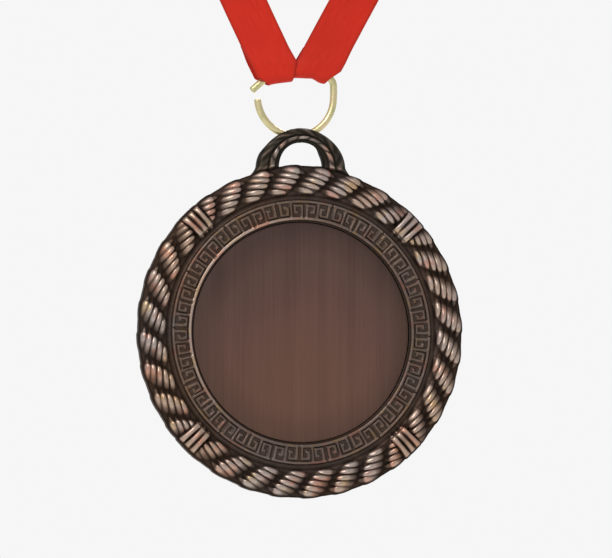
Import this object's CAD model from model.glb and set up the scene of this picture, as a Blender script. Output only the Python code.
import math

import bmesh
import bpy
import numpy as np
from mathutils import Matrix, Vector
from mathutils.kdtree import KDTree


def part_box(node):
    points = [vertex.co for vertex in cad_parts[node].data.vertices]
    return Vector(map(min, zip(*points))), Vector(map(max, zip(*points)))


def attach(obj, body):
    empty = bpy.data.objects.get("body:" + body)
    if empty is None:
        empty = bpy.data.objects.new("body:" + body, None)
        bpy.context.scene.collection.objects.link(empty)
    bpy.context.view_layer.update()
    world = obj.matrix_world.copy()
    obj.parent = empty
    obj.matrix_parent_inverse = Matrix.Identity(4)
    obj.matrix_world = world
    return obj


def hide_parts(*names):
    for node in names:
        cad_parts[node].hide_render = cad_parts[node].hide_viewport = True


# A rope-bordered bronze medal on its neck ribbon. Shapes are worked out in millimetres, with
# x to the right, y away from the front and height up from the medal's centre, and solid_object()
# moves them into the frame, in metres.
MM = 0.001

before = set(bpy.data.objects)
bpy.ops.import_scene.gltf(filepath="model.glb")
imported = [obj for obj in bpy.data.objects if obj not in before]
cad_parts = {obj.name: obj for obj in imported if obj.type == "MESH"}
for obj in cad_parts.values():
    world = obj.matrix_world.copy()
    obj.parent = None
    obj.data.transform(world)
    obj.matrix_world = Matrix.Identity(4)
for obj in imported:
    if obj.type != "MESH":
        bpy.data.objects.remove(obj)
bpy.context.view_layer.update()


def node_middle(name):
    """The middle of a CAD node's box, in metres."""
    low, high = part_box(name)
    return [(a + b) / 2 for a, b in zip(low, high)]


MEDAL_X, _, MEDAL_Z = node_middle("centre_disc")
HANG_X = -1.1                             # the ring and the V hang left of the medal's middle

# ---------------------------------------------------------------- camera, light and floor
CAMERA_TARGET_MM = (0.9, -2.0, 12.0)      # from the medal's centre
CAMERA_DISTANCE = 1.2
CAMERA_AZIMUTH = math.radians(-12.5)
CAMERA_ELEVATION = math.radians(-3.5)
CAMERA_LENS = 313
SENSOR_WIDTH = 36
FLOOR_Z = -0.6
FLOOR_RADIUS = 3.6
FLOOR_PAINT = (0.88, 0.88, 0.87, 1)
BACKDROP = (0.922, 0.922, 0.922, 1)       # what the camera sees behind the medal
AMBIENT = (0.95, 0.97, 1, 1)              # what lights the medal from all round
AMBIENT_STRENGTH = 0.55


def aim(item, target):
    item.rotation_euler = (target - item.location).to_track_quat("-Z", "Y").to_euler()


def add_camera():
    data = bpy.data.cameras.new("camera")
    data.lens = CAMERA_LENS
    data.sensor_width = SENSOR_WIDTH
    data.clip_end = 100
    camera = bpy.data.objects.new("camera", data)
    bpy.context.scene.collection.objects.link(camera)
    x, y, height = CAMERA_TARGET_MM
    target = Vector((MEDAL_X + x * MM, y * MM, MEDAL_Z + height * MM))
    back = Vector((math.sin(CAMERA_AZIMUTH) * math.cos(CAMERA_ELEVATION),
                   -math.cos(CAMERA_AZIMUTH) * math.cos(CAMERA_ELEVATION),
                   math.sin(CAMERA_ELEVATION)))
    camera.location = target + back * CAMERA_DISTANCE
    aim(camera, target)
    bpy.context.scene.camera = camera


def add_softbox(name, place, size, power):
    data = bpy.data.lights.new(name, "AREA")
    data.shape = "DISK"
    data.size = size
    data.energy = power
    lamp = bpy.data.objects.new(name, data)
    lamp.location = place
    bpy.context.scene.collection.objects.link(lamp)
    aim(lamp, Vector((0, 0, MEDAL_Z)))
    lamp.visible_camera = False


def add_world():
    """A white studio backdrop that lights the object more softly than it shows."""
    world = bpy.data.worlds.new("studio")
    bpy.context.scene.world = world
    world.use_nodes = True
    nodes, links = world.node_tree.nodes, world.node_tree.links
    nodes.clear()
    backdrop = nodes.new("ShaderNodeBackground")
    backdrop.inputs["Color"].default_value = BACKDROP
    ambient = nodes.new("ShaderNodeBackground")
    ambient.inputs["Color"].default_value = AMBIENT
    ambient.inputs["Strength"].default_value = AMBIENT_STRENGTH
    ray = nodes.new("ShaderNodeLightPath")
    mix = nodes.new("ShaderNodeMixShader")
    out = nodes.new("ShaderNodeOutputWorld")
    links.new(ray.outputs["Is Camera Ray"], mix.inputs["Fac"])
    links.new(ambient.outputs[0], mix.inputs[1])
    links.new(backdrop.outputs[0], mix.inputs[2])
    links.new(mix.outputs[0], out.inputs["Surface"])


def add_stage():
    add_world()
    add_softbox("key_light", (0.45, -1.5, -1.25), 0.8, 68)
    add_softbox("top_light", (-0.9, -1.3, 1.1), 1.0, 12)
    add_softbox("rim_light", (0.5, 1.4, 1.0), 0.8, 16)
    mesh = bpy.data.meshes.new("floor")
    shape = bmesh.new()
    bmesh.ops.create_circle(shape, cap_ends=True, radius=FLOOR_RADIUS, segments=96)
    shape.to_mesh(mesh)
    shape.free()
    floor = bpy.data.objects.new("floor", mesh)
    floor.location.z = FLOOR_Z
    bpy.context.scene.collection.objects.link(floor)
    paint = bpy.data.materials.new("pale_floor")
    paint.use_nodes = True
    shader = paint.node_tree.nodes["Principled BSDF"]
    shader.inputs["Base Color"].default_value = FLOOR_PAINT
    shader.inputs["Roughness"].default_value = 0.9
    mesh.materials.append(paint)


add_camera()
bpy.context.scene.view_settings.view_transform = "Standard"
add_stage()


# ---------------------------------------------------------------- mesh tools
def grid_faces(rows, columns, wrap_rows=False, wrap_columns=False):
    """Quads over a grid of vertices numbered row by row."""
    row = np.arange(rows if wrap_rows else rows - 1)
    column = np.arange(columns if wrap_columns else columns - 1)
    a, b = np.meshgrid(row, column, indexing="ij")
    a2, b2 = (a + 1) % rows, (b + 1) % columns
    quads = np.stack([a * columns + b, a * columns + b2, a2 * columns + b2, a2 * columns + b], -1)
    return quads.reshape(-1, 4).tolist()


def solid_object(name, points, faces, sharp_deg=None):
    """A closed mesh from millimetre points (x, y, height above the medal's centre)."""
    points = np.asarray(points, float) * MM + np.array([MEDAL_X, 0, MEDAL_Z])
    mesh = bpy.data.meshes.new(name)
    mesh.from_pydata(points.tolist(), [], faces)
    shape = bmesh.new()
    shape.from_mesh(mesh)
    bmesh.ops.recalc_face_normals(shape, faces=shape.faces)
    shape.to_mesh(mesh)
    shape.free()
    mesh.validate()
    made = bpy.data.objects.new(name, mesh)
    bpy.context.scene.collection.objects.link(made)
    mesh.shade_smooth()
    if sharp_deg:
        mesh.set_sharp_from_angle(angle=math.radians(sharp_deg))
    return made


CAP_STEPS = [(0.85, 0.5), (0.5, 0.9)]     # a domed end's loops: size, and share of the dome


def tube(path, radius, sides, closed=False, domed=0.4):
    """Points and faces of a round wire along a path in mm. An open wire gets domed ends."""
    path = np.asarray(path, float)
    if closed:
        along = np.roll(path, -1, 0) - np.roll(path, 1, 0)
    else:
        along = np.gradient(path, axis=0)
    along /= np.linalg.norm(along, axis=1)[:, None]
    side = np.cross(along, [0.0, 1.0, 0.0])
    flat = np.linalg.norm(side, axis=1) < 0.2
    side[flat] = np.cross(along[flat], [1.0, 0.0, 0.0])
    for i in range(1, len(side)):
        side[i] = side[i - 1] - along[i] * np.dot(side[i - 1], along[i])
        side[i] /= np.linalg.norm(side[i])
    side[0] /= np.linalg.norm(side[0])
    other = np.cross(along, side)
    turn = np.linspace(0, 2 * np.pi, sides, endpoint=False)
    cosine, sine = np.cos(turn)[None, :, None], np.sin(turn)[None, :, None]
    ring = cosine * side[:, None] + sine * other[:, None]
    if closed:
        points = (path[:, None] + radius * ring).reshape(-1, 3)
        return points, grid_faces(len(path), sides, wrap_rows=True, wrap_columns=True)
    loops = [path[:, None] + radius * ring]
    for end, way in ((0, -1), (-1, 1)):
        caps = [path[end] + way * domed * radius * out * along[end] + size * radius * ring[end]
                for size, out in CAP_STEPS]
        caps = np.array(caps)
        loops = [caps[::-1], *loops] if end == 0 else [*loops, caps]
    points = np.concatenate([loop.reshape(-1, 3) for loop in loops])
    count = len(points) // sides
    faces = grid_faces(count, sides, wrap_columns=True)
    tips = [path[0] - domed * radius * along[0], path[-1] + domed * radius * along[-1]]
    for tip, first in ((0, 0), (1, (count - 1) * sides)):
        faces += [[first + j, first + (j + 1) % sides, len(points) + tip] for j in range(sides)]
    return np.concatenate([points, tips]), faces


def join_shells(shells):
    """One list of points and faces from several."""
    points, faces, count = [], [], 0
    for shell_points, shell_faces in shells:
        points.append(np.asarray(shell_points, float))
        faces += [[i + count for i in face] for face in shell_faces]
        count += len(shell_points)
    return np.concatenate(points), faces


def smooth_curve(points, steps):
    """A Catmull-Rom curve through some points."""
    points = np.asarray(points, float)
    ends = np.concatenate([[2 * points[0] - points[1]], points, [2 * points[-1] - points[-2]]])
    out = []
    for i in range(len(points) - 1):
        a, b, c, d = ends[i:i + 4]
        for t in np.linspace(0, 1, steps, endpoint=False):
            out.append(0.5 * (2 * b + (c - a) * t + (2 * a - 5 * b + 4 * c - d) * t * t
                              + (3 * b - a - 3 * c + d) * t ** 3))
    out.append(points[-1])
    return np.array(out)


def bezier(controls, t):
    a, b, c, d = (np.array(p, float) for p in controls)
    t = np.asarray(t)[:, None]
    return a * (1 - t) ** 3 + 3 * b * t * (1 - t) ** 2 + 3 * c * t * t * (1 - t) + d * t ** 3


def ease(value, low, high):
    """0 below low, 1 above high, and a smooth step between them."""
    t = np.clip((value - low) / (high - low), 0, 1)
    return t * t * (3 - 2 * t)


def round_top(distance, reach):
    """The height of a half-round swelling, 1 in its middle and 0 from reach outwards."""
    return np.sqrt(np.clip(1 - (distance / reach) ** 2, 0, 1))


def unite(base, tool):
    """Joins a tool mesh to a base mesh, as one solid."""
    change = base.modifiers.new("change", "BOOLEAN")
    change.object = tool
    change.operation = "UNION"
    change.solver = "MANIFOLD"
    bpy.context.view_layer.objects.active = base
    bpy.ops.object.modifier_apply(modifier=change.name)
    bpy.data.objects.remove(tool)


# ---------------------------------------------------------------- the medal's casting
RECESS_R, MEDAL_R = 25.0, 37.5
RECESS_FLOOR = 0.1                 # heights of the relief, towards the viewer from y = 0
KEY_FLOOR, GROOVE_FLOOR, EDGE_TOP = 1.7, 1.3, 0.9
KEY_RISE, BEAD_RISE, BORDER_RISE = 0.36, 0.46, 0.42
BEAD_HALF, BORDER_HALF = 0.44, 0.42        # half the widths of the bead and the border line
BEAD_NOTCH = 0.3                           # depth of the notch at each key unit
BEAD_R, BORDER_R = 25.72, 29.5
KEY_UNITS = 14
KEY_START_DEG = 178.75
KEY_LINE = 0.62                    # width of a key line
GROOVE_R = (30.1, 31.1)
ROPE_MIDDLE, ROPE_HALF = 34.3, 3.25
ROPE_PITCHES = 32
PITCH = 2 * math.pi / ROPE_PITCHES
FIRST_BINDING_DEG = 44.25
STRAND = {"slope_deg": 45, "half_length": 4.6, "half_width": 2.15, "rise": 0.75}
STRAND_PHASE = 0.36                # pitches from a binding to the first strand after it
GRAIN_RADII = (32.05, 33.2, 34.35, 35.45, 36.5)
GRAIN_SHIFT = 1.2                  # each grain lies this far clockwise of the one inside it
GRAIN = {"half_length": 2.95, "half_width": 0.68, "tilt_deg": 13}
GRAIN_SIZES = (0.84, 1.0, 1.06, 1.0, 0.86)
BINDING = {"spacing_deg": 2.6, "half_width": 0.76, "half_length": 3.05, "cover_deg": 4.1}
BACK_FIELD_R, BACK_FIELD, BACK_RIM = 33.4, 1.3, 1.7
ROPE_OVER_LUG = 0.45               # how far the rope spreads over the lug's base
TURNS = 1040                       # samples round the medal


def wrap(angle):
    return (angle + np.pi) % (2 * np.pi) - np.pi


def key_relief(radius, angle):
    """Height of the key pattern's lines, 0 to 1, from radius in mm and anticlockwise angle."""
    unit = 2 * math.pi / KEY_UNITS
    part = ((angle - math.radians(KEY_START_DEG)) % unit) / (unit / 2)
    u = np.where(part > 1, 2 - part, part)
    width = unit / 2 * 27.6
    height = BORDER_R - BEAD_R
    x, y = u * width, radius - BEAD_R
    scroll = [(0.111, 1), (0.111, 0.24), (0.375, 0.24), (0.375, 0.64), (0.29, 0.64)]
    turned = [(1.014 - a, 1 - b) for a, b in scroll]
    lines = [scroll, turned, [(0.5, 0), (0.5, 1)], [(0.07, 1), (1, 1)], [(0, 0), (0.94, 0)]]
    nearest = np.full(x.shape, 9.0)
    for line in lines:
        for (ax, ay), (bx, by) in zip(line, line[1:]):
            ax, bx, ay, by = ax * width, bx * width, ay * height, by * height
            dx, dy = bx - ax, by - ay
            t = np.clip(((x - ax) * dx + (y - ay) * dy) / (dx * dx + dy * dy), 0, 1)
            nearest = np.minimum(nearest, np.hypot(x - ax - t * dx, y - ay - t * dy))
    return 1 - ease(nearest, KEY_LINE / 2 - 0.16, KEY_LINE / 2 + 0.14)


def rope_relief(radius, angle):
    """Height of the rope border above y = 0."""
    clockwise = -angle
    section = round_top(radius - ROPE_MIDDLE, ROPE_HALF)
    bed = GROOVE_FLOOR + (EDGE_TOP - GROOVE_FLOOR) * ease(radius, 31, 37.5) + 0.5 * section
    ridges, bodies = np.zeros(radius.shape), np.zeros(radius.shape)
    tilt, slope = math.radians(GRAIN["tilt_deg"]), math.radians(STRAND["slope_deg"])
    first = -math.radians(FIRST_BINDING_DEG)
    for k in range(ROPE_PITCHES):
        middle = first + (k + STRAND_PHASE) * PITCH
        along = radius * wrap(clockwise - middle)
        across = radius - ROPE_MIDDLE
        long_way = along * math.cos(slope) + across * math.sin(slope)
        short_way = -along * math.sin(slope) + across * math.cos(slope)
        spread = ((np.abs(long_way) / STRAND["half_length"]) ** 2.2
                  + (np.abs(short_way + 0.1) / STRAND["half_width"]) ** 2.2)
        lean = 0.5 + 0.5 * ease(along - across, -3.0, 1.6)
        bodies = np.maximum(bodies, np.sqrt(np.clip(1 - spread, 0, 1)) * lean)
        for j, grain_radius in enumerate(GRAIN_RADII):
            shift = (j - 2) * GRAIN_SHIFT / grain_radius
            s = radius * wrap(clockwise - middle - shift)
            d = radius - grain_radius
            lengthwise = s * math.cos(tilt) - d * math.sin(tilt)
            sideways = s * math.sin(tilt) + d * math.cos(tilt)
            reach = GRAIN["half_length"] * GRAIN_SIZES[j]
            q = (np.abs(lengthwise) / reach) ** 2.6 + (np.abs(sideways) / GRAIN["half_width"]) ** 2
            rise = 0.45 + 0.55 * ease(lengthwise, -reach, 0.35 * reach)
            rise *= 0.88 + 0.12 * math.sin(2.4 * k + 1.9 * j)
            ridges = np.maximum(ridges, np.sqrt(np.clip(1 - q, 0, 1)) * rise)
    rope = bed + section ** 0.7 * (STRAND["rise"] * bodies)
    rope = rope + (0.25 + 0.55 * section) * ridges * 0.85
    for k in range(4):
        middle = first + k * np.pi / 2
        swing = np.abs(np.degrees(wrap(clockwise - middle)))
        cover = 1 - ease(swing, BINDING["cover_deg"] - 0.5, BINDING["cover_deg"] + 0.3)
        wraps = np.zeros(radius.shape)
        for side in (-1, 0, 1):
            turn = middle + side * math.radians(BINDING["spacing_deg"])
            s = radius * wrap(clockwise - turn)
            ends = ease(BINDING["half_length"] - np.abs(radius - ROPE_MIDDLE), 0, 0.6)
            wraps = np.maximum(wraps, round_top(s, BINDING["half_width"]) * ends)
            dot = np.hypot(s, radius - (ROPE_MIDDLE - BINDING["half_length"] - 0.25))
            wraps = np.maximum(wraps, 0.7 * round_top(dot, 0.42))
        bound = bed + section ** 0.7 * 0.62 * cover + (0.3 + 0.55 * section) * wraps * 0.9
        rope = rope * (1 - cover) + bound * cover
    return rope


def front_relief(radius, angle):
    """Height of the whole front of the casting above y = 0."""
    key = key_relief(radius, angle)
    low_part = KEY_FLOOR + KEY_RISE * key - 3 * (radius < BEAD_R)
    bead = KEY_FLOOR + BEAD_RISE * round_top(radius - BEAD_R, BEAD_HALF)
    bead = bead - 0.35 * (1 - ease(radius, RECESS_R, BEAD_R - 0.3))
    middle = np.abs(wrap((angle - math.radians(KEY_START_DEG + 180 / KEY_UNITS)) * KEY_UNITS))
    notch = 1 - ease(middle / KEY_UNITS * radius, 0.12, 0.4)
    notch = notch * ease(radius, BEAD_R - 0.3, BEAD_R + 0.1)
    bead = bead - BEAD_NOTCH * notch
    bead = np.where(radius < BEAD_R + 0.6, bead, 0)
    line = round_top(radius - BORDER_R, BORDER_HALF)
    border = KEY_FLOOR + BORDER_RISE * line * np.clip(key * 1.4, 0, 1)
    inner = np.maximum(np.maximum(low_part, bead), np.where(radius > 29, border, 0))
    groove = 1 - ease(radius, BORDER_R + 0.25, GROOVE_R[0] + 0.1)
    inner = GROOVE_FLOOR + (inner - GROOVE_FLOOR) * groove
    rope = rope_relief(radius, angle)
    rope = np.where(radius < GROOVE_R[1], np.maximum(rope, GROOVE_FLOOR), rope)
    return np.where(radius < GROOVE_R[1] - 0.6, inner, rope)


def blotches(radius, angle):
    """A slow uneven pattern round the border, -1 to 1, where hands have polished it."""
    x, z = radius * np.cos(angle), radius * np.sin(angle)
    return (np.sin(0.83 * x + 1.3 * np.sin(0.47 * z)) * np.cos(0.71 * z + 0.9)
            + 0.6 * np.sin(1.9 * x - 1.2 * z + 0.4)) / 1.6


def blurred(grid, rows, columns):
    """A grid averaged over some rows and over some columns, which wrap round."""
    out = np.zeros(grid.shape)
    for shift in range(-columns, columns + 1):
        out += np.roll(grid, shift, 1)
    out /= 2 * columns + 1
    padded = np.pad(out, ((rows, rows), (0, 0)), mode="edge")
    return sum(padded[i:i + len(grid)] for i in range(2 * rows + 1)) / (2 * rows + 1)


def casting():
    """The round casting and, for each of its points, how far it stands out of its surroundings."""
    radii = np.concatenate([
        np.linspace(RECESS_R, 26.35, 9, endpoint=False),
        np.linspace(26.35, 29.1, 19, endpoint=False),
        np.linspace(29.1, 30.2, 7, endpoint=False),
        np.linspace(30.2, 31.0, 3, endpoint=False),
        np.linspace(31.0, MEDAL_R - 0.02, 42),
    ])
    angle = np.linspace(0, 2 * np.pi, TURNS, endpoint=False)
    r, a = np.meshgrid(radii, angle, indexing="ij")
    height = front_relief(r, a)
    small = (height - blurred(height, 3, 5)) / 0.3
    wide = (height - blurred(height, 9, 16)) / 0.5
    rope = ease(r, GROOVE_R[0], GROOVE_R[1])
    worn = 0.47 + (0.22 + 0.14 * rope) * small + (0.06 + 0.36 * rope) * wide
    worn += 0.10 * rope * blotches(r, a)
    rubbed = ease(np.cos(a - math.radians(155)), 0.1, 0.8)
    worn += (0.02 + 0.34 * rubbed) * round_top(r - BEAD_R, 0.42) - 0.12 * (r < BEAD_R - 0.38)
    worn += 0.1 * round_top(r - 30.8, 0.9) - 0.45 * ease(r, 36.8, 37.35)
    worn = np.clip(worn, 0, 1)
    worn[0] = 0.35
    bulge = np.clip(height[-6] - EDGE_TOP, 0, 1)
    rim = ease(r, 36.2, MEDAL_R)
    over_lug = 1 - ease(np.abs(np.degrees(wrap(angle - np.pi / 2))), 13, 17)
    r_out = r - rim * (0.34 * (1 - bulge) - ROPE_OVER_LUG * over_lug)[None]
    loops = [(r_out[i], height[i], worn[i]) for i in range(len(radii))]
    edge = r_out[-1]
    loops.insert(0, (r_out[0], np.full(TURNS, RECESS_FLOOR), np.full(TURNS, 0.1)))
    for inset, back, wear in ((0.0, 0.3, 0.35), (0.0, -1.1, 0.35), (0.12, -1.5, 0.6),
                              (0.45, -BACK_RIM, 0.65)):
        loops.append((edge - inset, np.full(TURNS, back), np.full(TURNS, wear)))
    for radius, back, wear in ((BACK_FIELD_R + 0.3, -BACK_RIM, 0.65), (BACK_FIELD_R, -1.55, 0.5),
                               (BACK_FIELD_R - 0.25, -BACK_FIELD, 0.25), (20, -BACK_FIELD, 0.42)):
        loops.append((np.full(TURNS, radius), np.full(TURNS, back), np.full(TURNS, wear)))
    points = np.concatenate([np.stack([ring * np.cos(angle), -up, ring * np.sin(angle)], -1)
                             for ring, up, _ in loops])
    wear = np.concatenate([loop[2] for loop in loops])
    faces = grid_faces(len(loops), TURNS, wrap_columns=True)
    last = (len(loops) - 1) * TURNS
    points = np.concatenate([points, [[0, -RECESS_FLOOR, 0], [0, BACK_FIELD, 0]]])
    wear = np.concatenate([wear, [0.1, 0.42]])
    faces += [[j, (j + 1) % TURNS, len(points) - 2] for j in range(TURNS)]
    faces += [[last + j, last + (j + 1) % TURNS, len(points) - 1] for j in range(TURNS)]
    return points, faces, wear


# Lug: outlines in x and height, as in the CAD.
LUG = {"half_width": 10.1, "base": 37.6, "top": 46.2, "shoulder": 0.56, "crown": 0.44,
       "foot_x": 14.2, "foot": 33.0, "lift": 1.4}
LUG_HOLE = {"half_width": 5.2, "base": 37.75, "top": 42.9, "shoulder": 0.66, "crown": 0.5,
            "foot_x": 5.2, "foot": 34.0, "lift": 1.0}
LUG_FRONT, LUG_BAR_BACK, LUG_FEET_BACK, LUG_FEET_TOP = 2.9, 1.3, -1.2, 42.3
EYELET = {"height": 44.5, "bore": 1.05, "outer": 1.55, "half_length": 1.3}


def arch(line):
    """A line up from the right foot, over the dome and down to the left foot."""
    t = np.linspace(0, 1, 14, endpoint=False)[:, None]
    side, base, top = line["half_width"], line["base"], line["top"]
    rise = (np.array([line["foot_x"], line["foot"]]) * (1 - t) ** 2
            + 2 * np.array([side, base - line["lift"]]) * t * (1 - t)
            + np.array([side, base]) * t * t)
    shoulder = base + line["shoulder"] * (top - base)
    dome = bezier([(side, base), (side - 0.3, shoulder), (line["crown"] * side, top), (0, top)],
                  np.linspace(0, 1, 52))
    half = np.concatenate([rise, dome])
    return np.concatenate([half, half[-2::-1] * [-1, 1]])


def lug_shell():
    """The lug's bar and feet, a closed strip that runs from foot to foot."""
    inner, outer = arch(LUG_HOLE), arch(LUG)
    middle = (inner + outer) / 2
    walk = np.concatenate([[0], np.cumsum(np.linalg.norm(np.diff(middle, axis=0), axis=1))])
    walk = walk - walk[-1] / 2
    share = np.linspace(0, 1, 27)
    s, t = np.meshgrid(walk, share, indexing="ij")
    face = inner[:, None] + (outer - inner)[:, None] * share[None, :, None]
    slab = 2.35 * round_top(t - 0.5, 0.56) ** 0.5
    bead = round_top(t - 0.34, 0.14)
    beads = np.abs(np.sin((s / 2.9 + t * 1.3 + 0.2) * np.pi)) ** 0.7
    beads = 0.3 + beads * (0.5 + 0.2 * np.sin(s * 0.83 + 1.9))
    roll = round_top(t - 0.76, 0.22)
    streaks = 0.55 + 0.45 * np.cos(s * 1.9 - t * 13) * np.cos(s * 0.63 + 0.8)
    front = slab * 0.88 + 0.7 * bead * beads + 0.4 * roll * streaks
    front = np.minimum(front, LUG_FRONT)
    buried = ease(np.hypot(face[..., 0], face[..., 1]), MEDAL_R - 0.6, MEDAL_R + 0.7)
    front = front * buried + np.minimum(front, 1.0) * (1 - buried)
    small = front - blurred_open(front, 3)
    worn = 0.18 + 0.55 * small / 0.3 + 0.5 * bead * beads + 0.12 * roll * streaks
    worn = np.clip(worn, 0, 0.95)
    back_share = np.linspace(1, 0, 9)
    face_back = inner[:, None] + (outer - inner)[:, None] * back_share[None, :, None]
    step = ease(face_back[..., 1], LUG_FEET_TOP - 2.2, LUG_FEET_TOP)
    depth = LUG_FEET_BACK + (LUG_BAR_BACK - LUG_FEET_BACK) * step
    tuck = 0.25 * (1 - round_top(back_share - 0.5, 0.52) ** 0.4)
    back = depth + tuck[None, :]
    loop = np.concatenate([
        np.stack([face[..., 0], -front, face[..., 1]], -1),
        np.stack([face_back[..., 0], -back, face_back[..., 1]], -1)], axis=1)
    rows, columns = loop.shape[:2]
    faces = grid_faces(rows, columns, wrap_columns=True)
    faces += [list(range(columns)), [(rows - 1) * columns + j for j in range(columns)]]
    wear = np.concatenate([worn, np.full(back.shape, 0.42)], axis=1)
    return loop.reshape(-1, 3), faces, wear.reshape(-1)


def blurred_open(grid, reach):
    padded = np.pad(grid, ((reach, reach), (reach, reach)), mode="edge")
    out = sum(padded[i:i + grid.shape[0]] for i in range(2 * reach + 1)) / (2 * reach + 1)
    return sum(out[:, i:i + grid.shape[1]] for i in range(2 * reach + 1)) / (2 * reach + 1)


def spun_along_x(profile, middle_x, height, sides=40):
    """A closed ring turned about an axis along x: profile points are (x, radius)."""
    turn = np.linspace(0, 2 * np.pi, sides, endpoint=False)
    points = [[middle_x + x, radius * math.sin(a), height + radius * math.cos(a)]
              for x, radius in profile for a in turn]
    return points, grid_faces(len(profile), sides, wrap_rows=True, wrap_columns=True)


def eyelet_shell():
    half, bore, outer = EYELET["half_length"], EYELET["bore"], EYELET["outer"]
    profile = [(-half, bore + 0.15), (-half, outer - 0.2), (-half + 0.2, outer),
               (half - 0.2, outer), (half, outer - 0.2), (half, bore + 0.15),
               (half - 0.3, bore), (-half + 0.3, bore)]
    return spun_along_x(profile, HANG_X, EYELET["height"])


def neck_shell():
    """A rounded web that holds the eyelet to the back of the lug's bar."""
    half, low, high = EYELET["half_length"] - 0.1, EYELET["height"] - 0.9, LUG["top"] - 0.5
    shape = [(-half, low), (half, low), (half, high - 0.6), (half - 0.5, high),
             (-half + 0.5, high), (-half, high - 0.6)]
    points = [[HANG_X + x, y, z] for y in (-LUG_BAR_BACK - 0.4, -EYELET["bore"] - 0.05)
              for x, z in shape]
    count = len(shape)
    faces = grid_faces(2, count, wrap_columns=True)
    return points, faces + [list(range(count)), list(range(count, 2 * count))]


def medal_casting():
    points, faces, wear = casting()
    body = solid_object("medal_casting", points, faces)
    lug_points, lug_faces, lug_wear = lug_shell()
    unite(body, solid_object("lug", lug_points, lug_faces))
    for shell in (neck_shell(), eyelet_shell()):
        unite(body, solid_object("loop", *shell))
    known = np.concatenate([points, lug_points]) * MM + np.array([MEDAL_X, 0, MEDAL_Z])
    tree = KDTree(len(known))
    for i, place in enumerate(known):
        tree.insert(place, i)
    tree.balance()
    nearest = [tree.find(vertex.co)[1] for vertex in body.data.vertices]
    on_lug = np.arange(len(known)) >= len(points)
    for name, values in (("worn", np.concatenate([wear, lug_wear])), ("on_lug", on_lug)):
        attribute = body.data.attributes.new(name, "FLOAT", "POINT")
        attribute.data.foreach_set("value", values[nearest].astype(np.float32))
    body.data.shade_smooth()
    body.data.set_sharp_from_angle(angle=math.radians(50))
    return body


# ---------------------------------------------------------------- centre disc
DISC = {"radius": 24.85, "front": 1.2, "back": 0.3, "chamfer": 0.16}


def turned_disc(name, radius, front, back, chamfer, sides=256):
    profile = [(radius * 0.5, front), (radius - 3, front), (radius - chamfer, front),
               (radius - chamfer * 0.3, front - chamfer * 0.3), (radius, front - chamfer),
               (radius, back + chamfer), (radius - chamfer, back), (radius * 0.5, back)]
    turn = np.linspace(0, 2 * np.pi, sides, endpoint=False)
    points = [[r * math.cos(a), -up, r * math.sin(a)] for r, up in profile for a in turn]
    faces = grid_faces(len(profile), sides, wrap_columns=True)
    points += [[0, -front, 0], [0, -back, 0]]
    last = (len(profile) - 1) * sides
    faces += [[j, (j + 1) % sides, len(points) - 2] for j in range(sides)]
    faces += [[last + j, last + (j + 1) % sides, len(points) - 1] for j in range(sides)]
    return solid_object(name, points, faces, sharp_deg=30)


# ---------------------------------------------------------------- jump ring
RING = {"centre": 53.3, "radius": 8.8, "wire": 0.8, "cut_deg": 185}
RING_BAR = [(8.85, 55), (8.6, 57), (7, 58.5), (4.5, 59), (0, 59.1), (-4.2, 58.8), (-6.3, 57.8),
            (-8.2, 56.3), (-10, 54.7)]


def jump_ring():
    angles = np.radians(np.linspace(RING["cut_deg"], 360, 23))
    bow = [(RING["radius"] * math.cos(a), RING["centre"] + RING["radius"] * math.sin(a))
           for a in angles]
    path = smooth_curve([(HANG_X + x, 0, height) for x, height in bow + RING_BAR], 5)
    return solid_object("gold_jump_ring", *tube(path, RING["wire"], 22, domed=0.25))


# ---------------------------------------------------------------- ribbon
STRAP_WIDTH, STRAP_THICKNESS = 10.0, 0.36
LEG_ANGLE = {-1: math.radians(25.4), 1: math.radians(28.7)}
NOTCH = 61.3                       # where the legs' inner edges meet
FOLD_GAP = 1.6                     # from the middle of the fold to each layer
FOLD_SHOULDER, FOLD_TOP, HEM_TOP = 60.4, 65.2, 64.7
LEG_TOP = 94.0
STRAP_COLUMNS = 21
# The fold's lower edge on each side, at some shares across the strap: its x at both ends, its
# height seen from the front, its height under the wire, and how far the wire pushes the
# outer corner in.
FOLD_LINE = {
    -1: {"shares": [0, 0.12, 1], "x": (-8.3, -0.8), "front": [55.85, 56.2, 56.95],
         "under": [55.85, 56.1, 56.95], "inset": 2.1},
    1: {"shares": [0, 0.18, 0.3, 0.48, 1], "x": (9.3, -1.2),
        "front": [57.6, 56.75, 56.95, 57.75, 57.85],
        "under": [56.6, 56.7, 56.95, 57.75, 57.85], "inset": 2.5},
}
HANK = {"bottom": 86.0, "length": 66.0, "core": 0.42, "pitch": 0.52, "turns": 5.1,
        "end_room": 3.3, "steps": 44, "columns": 9}
STITCH = {"height": 62.8, "length": 1.05, "gap": 1.45, "radius": 0.15, "edge_room": 1.2}
ELASTIC = {"half_y": 3.85, "half_z": 5.55, "corner": 1.6, "radius": 0.6}
ELASTIC_TURNS = ((-1.25, 0.25), (0.0, -0.15), (1.25, 0.2))    # each turn's x and lean


def leg_x(way, height, share):
    """Across a leg at a height, from its outer edge (share 0) to its inner edge (share 1)."""
    width = STRAP_WIDTH / math.cos(LEG_ANGLE[way])
    return way * (math.tan(LEG_ANGLE[way]) * (height - NOTCH) + width * (1 - share))


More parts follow.
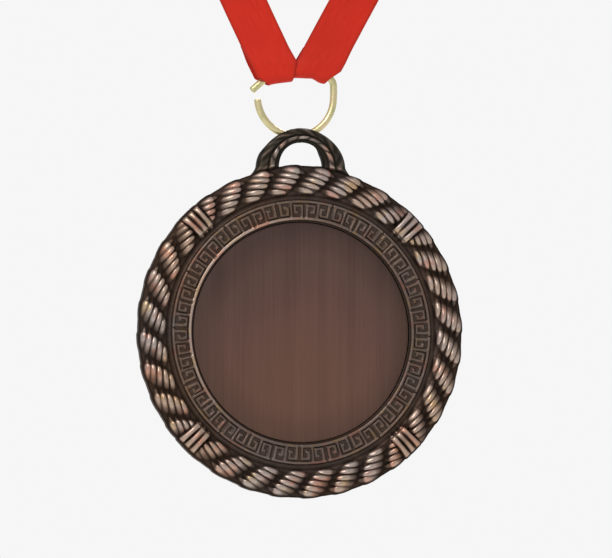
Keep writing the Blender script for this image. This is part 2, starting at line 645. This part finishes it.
def slab(grid, thickness, flat_uv):
    """A thin closed strip round a grid of points, with the cloth's own place for each, in mm."""
    grid = np.asarray(grid, float)
    down = np.gradient(grid, axis=0)
    across = np.gradient(grid, axis=1)
    normal = np.cross(across, down)
    normal /= np.linalg.norm(normal, axis=2)[..., None]
    rows, columns = grid.shape[:2]
    edge = np.ones(columns)
    edge[[0, -1]] = 0.55
    offset = normal * thickness / 2 * edge[None, :, None]
    loop = np.concatenate([grid + offset, (grid - offset)[:, ::-1]], axis=1)
    faces = grid_faces(rows, 2 * columns, wrap_columns=True)
    ends = []
    for row in (0, rows - 1):
        first = row * 2 * columns
        for j in range(columns - 1):
            ends.append([first + j, first + j + 1, first + 2 * columns - 2 - j,
                         first + 2 * columns - 1 - j])
    uv = np.concatenate([flat_uv, flat_uv[:, ::-1]], axis=1)
    return loop.reshape(-1, 3), faces + ends, uv.reshape(-1, 2)


def layer_depth(height, side):
    """How far the cloth lies forward (side -1) or back (1): spread by the wire, joined above."""
    spread = 1 - ease(height, FOLD_SHOULDER, FOLD_TOP)
    together = 0.24 if side > 0 else 0.2 * (1 - ease(height, FOLD_TOP, FOLD_TOP + 6))
    return side * (together + (FOLD_GAP - together) * spread)


def strap_side(way):
    """One leg of the V, its fold under the ring's bar and its turned-up end behind."""
    share = np.linspace(0, 1, STRAP_COLUMNS)
    line = FOLD_LINE[way]
    bottom_x = np.interp(share, [0, 1], line["x"])
    bottom, under = (np.interp(share, line["shares"], line[key]) for key in ("front", "under"))
    crease = bottom + FOLD_GAP

    def row(height, depth, pushed=0.0):
        height = np.broadcast_to(height, share.shape)
        fall = np.clip((NOTCH - height) / (NOTCH - bottom), 0, 1)
        x = leg_x(way, np.maximum(height, NOTCH), share)
        x = x + (bottom_x - x) * fall - way * line["inset"] * pushed * (1 - share) ** 3
        return np.stack([x, np.broadcast_to(depth, share.shape), height], -1)

    rows = [row(height, layer_depth(height, -1))
            for height in np.linspace(LEG_TOP, NOTCH, 40, endpoint=False)]
    falling = [NOTCH + (crease - NOTCH) * t for t in np.linspace(0, 1, 12)]
    rows += [row(height, layer_depth(height, -1)) for height in falling]
    for turn in np.linspace(0, math.pi, 11)[1:-1]:
        low = math.sin(turn)
        height = bottom + (under - bottom) * low + FOLD_GAP * (1 - low)
        rows.append(row(height, -FOLD_GAP * math.cos(turn), low))
    rows += [row(height, layer_depth(height, 1)) for height in falling[::-1]]
    rows += [row(height, layer_depth(height, 1)) for height in np.linspace(NOTCH, HEM_TOP, 9)[1:]]
    grid = np.array(rows)
    grid[..., 0] += HANG_X
    if way > 0:
        tucked = ease(share, 0.8, 1)[None] * 0.3 * (1 - ease(grid[..., 2], NOTCH, NOTCH + 2))
        grid[..., 1] -= np.sign(grid[..., 1]) * tucked
    middle = STRAP_COLUMNS // 2
    steps = np.linalg.norm(np.diff(grid[:, middle], axis=0), axis=1)
    walk = np.concatenate([[0], np.cumsum(steps)])
    flat_uv = np.stack(np.meshgrid(walk, share * STRAP_WIDTH, indexing="ij")[::-1], -1)
    flat_uv[..., 1] += flat_uv[..., 0] * math.tan(LEG_ANGLE[way])
    return slab(grid, STRAP_THICKNESS, flat_uv)


def hank_strip():
    """The rest of the ribbon, wound flat into a hank."""
    length = HANK["length"] / 2 - HANK["end_room"]
    steps, columns = HANK["steps"], HANK["columns"]
    path = []
    for i in range(int(HANK["turns"] * steps) + 1):
        turn = i / steps
        radius = HANK["core"] + HANK["pitch"] * turn
        part = (turn % 1) * 4
        if part < 1:
            x, y = length - 2 * length * part, radius
        elif part < 2:
            a = math.pi / 2 + math.pi * (part - 1)
            x, y = -length + radius * math.cos(a), radius * math.sin(a)
        elif part < 3:
            x, y = -length + 2 * length * (part - 2), -radius
        else:
            a = -math.pi / 2 + math.pi * (part - 3)
            x, y = length + radius * math.cos(a), radius * math.sin(a)
        path.append((x, y, turn))
    path = np.array(path)
    share = np.linspace(0, 1, columns)
    lift = 0.16 * np.sin(path[:, 2] * 5.1 + 0.8) + 0.12 * np.sin(path[:, 2] * 2.3)
    pinch = np.exp(-(path[:, 0] / 9) ** 2)
    grid = np.zeros((len(path), columns, 3))
    grid[..., 0] = path[:, None, 0]
    belly = np.sin(share * np.pi)[None] * 0.05
    grid[..., 1] = path[:, None, 1] * (1 + belly)
    lift = lift[:, None] * (1 - pinch[:, None])
    grid[..., 2] = HANK["bottom"] + lift + share[None] * STRAP_WIDTH
    walk = np.concatenate([[0], np.cumsum(np.linalg.norm(np.diff(path[:, :2], axis=0), axis=1))])
    flat_uv = np.stack(np.meshgrid(walk, share * STRAP_WIDTH, indexing="ij")[::-1], -1)
    return slab(grid, STRAP_THICKNESS, flat_uv)


def ribbon():
    strips = [strap_side(-1), strap_side(1), hank_strip()]
    points, faces = join_shells([(p, f) for p, f, _ in strips])
    made = solid_object("ribbon", points, faces, sharp_deg=60)
    cloth = np.concatenate([uv for _, _, uv in strips])
    layer = made.data.uv_layers.new(name="cloth")
    corners = np.zeros(len(made.data.loops), np.int32)
    made.data.loops.foreach_get("vertex_index", corners)
    layer.data.foreach_set("uv", (cloth[corners] / 10).astype(np.float32).reshape(-1))
    return made


def stitches(way):
    """A row of stitches across the turned-up end, seen from behind."""
    height, length, gap = STITCH["height"], STITCH["length"], STITCH["gap"]
    depth = layer_depth(height, 1) + STRAP_THICKNESS / 2
    low, high = (abs(leg_x(way, height, share)) for share in (1, 0))
    low, high = low + STITCH["edge_room"], high - STITCH["edge_room"]
    shells = []
    for i in range(int((high - low) / gap) + 1):
        x = HANG_X + way * (low + i * gap)
        t = np.linspace(-1, 1, 9)
        path = np.stack([x + t * length / 2, depth + 0.14 - 0.34 * t ** 4,
                         np.full(9, height + 0.15 * (i % 2))], -1)
        shells.append(tube(path, STITCH["radius"], 8))
    side = "left" if way < 0 else "right"
    return solid_object(f"seam_stitches_{side}", *join_shells(shells))


def elastic_turns():
    """Three turns of round elastic that hold the hank."""
    half_y, half_z, corner = ELASTIC["half_y"], ELASTIC["half_z"], ELASTIC["corner"]
    middle = HANK["bottom"] + STRAP_WIDTH / 2
    shells = []
    for x, lean in ELASTIC_TURNS:
        path = []
        for quarter in range(4):
            start = quarter * math.pi / 2
            sign_y = (1, -1, -1, 1)[quarter]
            sign_z = (1, 1, -1, -1)[quarter]
            for a in np.linspace(start, start + math.pi / 2, 9):
                path.append((x, sign_y * (half_y - corner) + corner * math.cos(a),
                             sign_z * (half_z - corner) + corner * math.sin(a)))
        path = np.array(path)
        path[:, 0] += lean * path[:, 2] / half_z
        path[:, 2] += middle
        shells.append(tube(path, ELASTIC["radius"], 14, closed=True))
    return solid_object("elastic_turns", *join_shells(shells))


# ---------------------------------------------------------------- materials
class Paint:
    """A node material, with short ways to add and link its nodes."""

    def __init__(self, name, metallic=0.0, roughness=0.5):
        self.material = bpy.data.materials.new(name)
        self.material.use_nodes = True
        self.nodes = self.material.node_tree.nodes
        self.links = self.material.node_tree.links
        self.shader = self.nodes["Principled BSDF"]
        self.shader.inputs["Metallic"].default_value = metallic
        self.shader.inputs["Roughness"].default_value = roughness

    def node(self, kind, inputs=None, **settings):
        made = self.nodes.new(kind)
        for key, value in settings.items():
            setattr(made, key, value)
        for key, value in (inputs or {}).items():
            if isinstance(value, bpy.types.NodeSocket):
                self.links.new(value, made.inputs[key])
            else:
                made.inputs[key].default_value = value
        return made

    def noise(self, place, scale, detail=3.0, roughness=0.5):
        made = self.node("ShaderNodeTexNoise", {"Vector": place, "Scale": scale, "Detail": detail,
                                                "Roughness": roughness})
        return made.outputs["Fac"]

    def stretched(self, place, scale):
        return self.node("ShaderNodeMapping", {"Vector": place, "Scale": scale}).outputs["Vector"]

    def math(self, operation, *values, clamp=False):
        return self.node("ShaderNodeMath", dict(enumerate(values)), operation=operation,
                         use_clamp=clamp).outputs[0]

    def ramp(self, factor, stops):
        made = self.node("ShaderNodeValToRGB", {"Fac": factor})
        elements = made.color_ramp.elements
        while len(elements) < len(stops):
            elements.new(0.5)
        for element, (place, colour) in zip(elements, stops):
            element.position = place
            grey = isinstance(colour, (int, float))
            element.color = (colour, colour, colour, 1) if grey else (*colour, 1)
        return made.outputs["Color"]

    def mix(self, factor, a, b, blend_type="MIX"):
        made = self.node("ShaderNodeMix", data_type="RGBA", blend_type=blend_type)
        for socket, value in ((made.inputs[0], factor), (made.inputs[6], a), (made.inputs[7], b)):
            if isinstance(value, bpy.types.NodeSocket):
                self.links.new(value, socket)
            elif isinstance(value, tuple):
                socket.default_value = (*value, 1)
            else:
                socket.default_value = value
        return made.outputs[2]

    def bump(self, height, strength, distance):
        made = self.node("ShaderNodeBump", {"Height": height, "Strength": strength,
                                            "Distance": distance})
        return made.outputs["Normal"]

    def link(self, **inputs):
        for name, socket in inputs.items():
            self.links.new(socket, self.shader.inputs[name.replace("_", " ")])
        return self.material


def antique_bronze():
    paint = Paint("antique_bronze", metallic=0.92)
    place = paint.node("ShaderNodeTexCoord").outputs["Object"]
    worn = paint.node("ShaderNodeAttribute", attribute_name="worn").outputs["Fac"]
    mottle = paint.noise(place, 900, 4, 0.6)
    broad = paint.noise(place, 55, 2)
    patch = paint.noise(place, 260, 2)
    wear = paint.math("MULTIPLY_ADD", mottle, 0.22, worn)
    level = paint.math("SUBTRACT", wear, 0.11, clamp=True)
    base = paint.ramp(level, [(0.0, (0.034, 0.021, 0.015)), (0.25, (0.066, 0.044, 0.034)),
                              (0.45, (0.120, 0.087, 0.070)), (0.65, (0.21, 0.152, 0.124)),
                              (0.85, (0.39, 0.296, 0.244)), (1.0, (0.60, 0.48, 0.41))])
    copper = paint.ramp(broad, [(0.38, (0.98, 1.0, 1.04)), (0.62, (1.05, 0.93, 0.82))])
    colour = paint.mix(1.0, base, copper, "MULTIPLY")
    tints = paint.ramp(patch, [(0.34, (1.10, 0.82, 0.74)), (0.45, (1.0, 0.98, 0.98)),
                               (0.57, (0.95, 0.97, 0.97)), (0.68, (1.10, 1.0, 0.74))])
    polished = paint.ramp(level, [(0.4, 0.3), (0.65, 1.0)])
    colour = paint.mix(polished, colour, tints, "MULTIPLY")
    on_lug = paint.node("ShaderNodeAttribute", attribute_name="on_lug").outputs["Fac"]
    darkened = paint.ramp(level, [(0.3, (0.60, 0.74, 0.68)), (0.6, (0.95, 1.0, 0.98))])
    colour = paint.mix(on_lug, colour, paint.mix(1.0, colour, darkened, "MULTIPLY"))
    rough = paint.ramp(level, [(0.0, 0.60), (0.55, 0.48), (1.0, 0.37)])
    grain = paint.noise(place, 2600, 2)
    return paint.link(Base_Color=colour, Roughness=rough, Normal=paint.bump(grain, 0.12, 0.0001))


def brushed_bronze():
    paint = Paint("brushed_bronze", metallic=0.88)
    corner = paint.node("ShaderNodeTexCoord").outputs["Object"]
    centred = {"Vector": corner, "Location": (-MEDAL_X, 0, -MEDAL_Z)}
    place = paint.node("ShaderNodeMapping", centred).outputs["Vector"]
    lines = paint.noise(paint.stretched(place, (2600, 2600, 38)), 1, 3, 0.7)
    broad_lines = paint.noise(paint.stretched(place, (420, 420, 9)), 1, 2)
    cloud = paint.noise(place, 28, 2)
    parts = paint.node("ShaderNodeSeparateXYZ", {0: place})
    across = paint.math("MULTIPLY", parts.outputs["X"], 1.5)
    lean = paint.math("MULTIPLY_ADD", parts.outputs["Z"], -11.0, across)
    level = paint.math("MULTIPLY_ADD", cloud, 0.5, lean)
    warm = paint.ramp(paint.math("ADD", level, 0.22, clamp=True),
                      [(0.0, (0.108, 0.064, 0.062)), (0.4, (0.190, 0.103, 0.081)),
                       (1.0, (0.262, 0.127, 0.086))])
    streak = paint.ramp(lines, [(0.3, 0.90), (0.7, 1.08)])
    colour = paint.mix(1.0, warm, streak, "MULTIPLY")
    streak_two = paint.ramp(broad_lines, [(0.3, 0.93), (0.7, 1.06)])
    colour = paint.mix(1.0, colour, streak_two, "MULTIPLY")
    radius = paint.node("ShaderNodeVectorMath", {0: place}, operation="LENGTH").outputs["Value"]
    shade = paint.ramp(paint.math("MULTIPLY", radius, 40.0),
                       [(0.0, (1.10, 1.06, 1.03)), (0.7, (1.0, 1.0, 1.0)),
                        (0.97, (0.70, 0.76, 0.76))])
    colour = paint.mix(1.0, colour, shade, "MULTIPLY")
    rough = paint.ramp(lines, [(0.3, 0.48), (0.7, 0.36)])
    return paint.link(Base_Color=colour, Roughness=rough, Normal=paint.bump(lines, 0.25, 0.00005))


def gold_wire():
    paint = Paint("gold_wire", metallic=1.0)
    place = paint.node("ShaderNodeTexCoord").outputs["Object"]
    tarnish = paint.noise(place, 240, 3)
    colour = paint.ramp(tarnish, [(0.35, (0.74, 0.70, 0.36)), (0.5, (0.92, 0.80, 0.44)),
                                  (0.68, (0.97, 0.78, 0.46))])
    rough = paint.ramp(paint.noise(place, 1500, 3), [(0.3, 0.32), (0.7, 0.46)])
    drawn = paint.bump(paint.noise(place, 2200, 2), 0.1, 0.0001)
    return paint.link(Base_Color=colour, Roughness=rough, Normal=drawn)


def red_satin():
    paint = Paint("red_satin")
    cloth = paint.node("ShaderNodeUVMap", uv_map="cloth").outputs["UV"]
    place = paint.node("ShaderNodeTexCoord").outputs["Object"]
    across = paint.node("ShaderNodeSeparateXYZ", {0: cloth})
    warp = paint.noise(paint.stretched(cloth, (55, 3, 1)), 1, 2)
    weft = paint.noise(paint.stretched(cloth, (5, 42, 1)), 1, 2)
    colour = paint.ramp(warp, [(0.3, (0.66, 0.021, 0.006)), (0.7, (0.76, 0.029, 0.009))])
    cloud = paint.ramp(paint.noise(place, 60, 2), [(0.35, 0.94), (0.65, 1.05)])
    colour = paint.mix(1.0, colour, cloud, "MULTIPLY")
    edge = paint.math("ABSOLUTE", paint.math("SUBTRACT", across.outputs["X"], 0.5))
    dark = paint.ramp(edge, [(0.43, 1.0), (0.5, 0.7)])
    colour = paint.mix(1.0, colour, dark, "MULTIPLY")
    weave = paint.math("ADD", warp, weft)
    paint.shader.inputs["Specular IOR Level"].default_value = 0.25
    rough = paint.ramp(weft, [(0.3, 0.5), (0.7, 0.62)])
    return paint.link(Base_Color=colour, Roughness=rough, Normal=paint.bump(weave, 0.16, 0.00008))


def twisted_thread(name, dark, light, scale, roughness):
    paint = Paint(name, roughness=roughness)
    place = paint.node("ShaderNodeTexCoord").outputs["Object"]
    strands = paint.node("ShaderNodeTexWave", {"Vector": place, "Scale": scale, "Distortion": 1.5},
                         bands_direction="DIAGONAL").outputs["Fac"]
    colour = paint.ramp(strands, [(0.2, dark), (0.8, light)])
    return paint.link(Base_Color=colour, Normal=paint.bump(strands, 0.35, 0.0001))


def glue_film():
    paint = Paint("adhesive_film", roughness=0.7)
    place = paint.node("ShaderNodeTexCoord").outputs["Object"]
    cloud = paint.noise(place, 300, 3)
    colour = paint.ramp(cloud, [(0.3, (0.74, 0.71, 0.64)), (0.7, (0.82, 0.80, 0.74))])
    return paint.link(Base_Color=colour, Normal=paint.bump(cloud, 0.1, 0.0001))


# ---------------------------------------------------------------- the pieces
def finish_piece(piece, body, slot, material, *nodes):
    piece.data.materials.clear()
    piece.data.materials.append(material)
    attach(piece, body)
    if nodes:
        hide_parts(*nodes)
    return piece


finish_piece(medal_casting(), "medal", "antique_bronze", antique_bronze(), "medal_body")
disc = turned_disc("brushed_disc", **DISC)
finish_piece(disc, "medal", "brushed_bronze", brushed_bronze(), "centre_disc")
finish_piece(jump_ring(), "ring", "gold_wire", gold_wire(), "jump_ring")
satin = finish_piece(ribbon(), "ribbon", "red_satin", red_satin(), "ribbon_tip", "ribbon_leg_left",
                     "ribbon_leg_right", "ribbon_hank")
thread = twisted_thread("red_thread", (0.36, 0.015, 0.012), (0.6, 0.04, 0.03), 900, 0.55)
finish_piece(stitches(-1), "ribbon", "red_thread", thread, "seam_thread_left")
finish_piece(stitches(1), "ribbon", "red_thread", thread, "seam_thread_right")
elastic = twisted_thread("elastic", (0.70, 0.68, 0.62), (0.86, 0.85, 0.80), 420, 0.8)
finish_piece(elastic_turns(), "ribbon", "elastic", elastic, "hank_tie")
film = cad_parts["disc_adhesive"]
film.data.materials.clear()
film.data.materials.append(glue_film())
